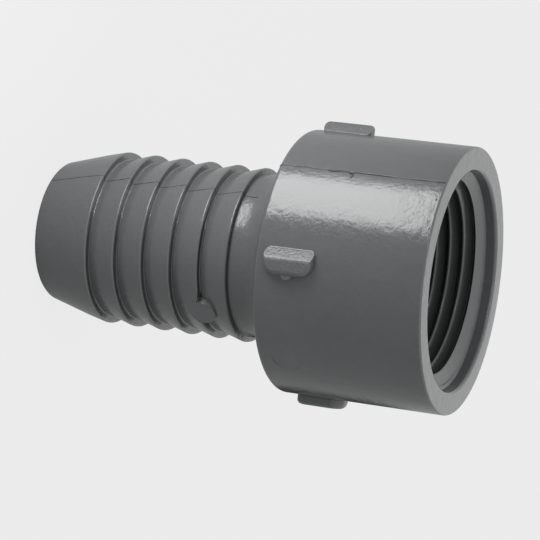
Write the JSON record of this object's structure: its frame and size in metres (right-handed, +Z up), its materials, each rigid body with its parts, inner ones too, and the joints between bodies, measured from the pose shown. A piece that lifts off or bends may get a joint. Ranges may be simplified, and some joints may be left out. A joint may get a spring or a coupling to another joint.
{
  "type": "female insert adapter",
  "caption": "Moulded dark grey pipe adapter: a barbed insert tail for soft pipe at one end, a socket with an internal taper pipe thread and small grip lugs at the other.",
  "frame": {"origin": "centre of the nose face at the barbed end, on the axis of the fitting", "axes": "+Z up the axis and out of the threaded mouth; +X and +Y each through the middle of a grip lug"},
  "size_m": [0.0446, 0.0446, 0.0682],
  "materials": {
    "body_plastic": "semi-gloss dark grey moulded PVC"
  },
  "bodies": {
    "root": {"adapter_body": "body_plastic"}
  },
  "joints": []
}
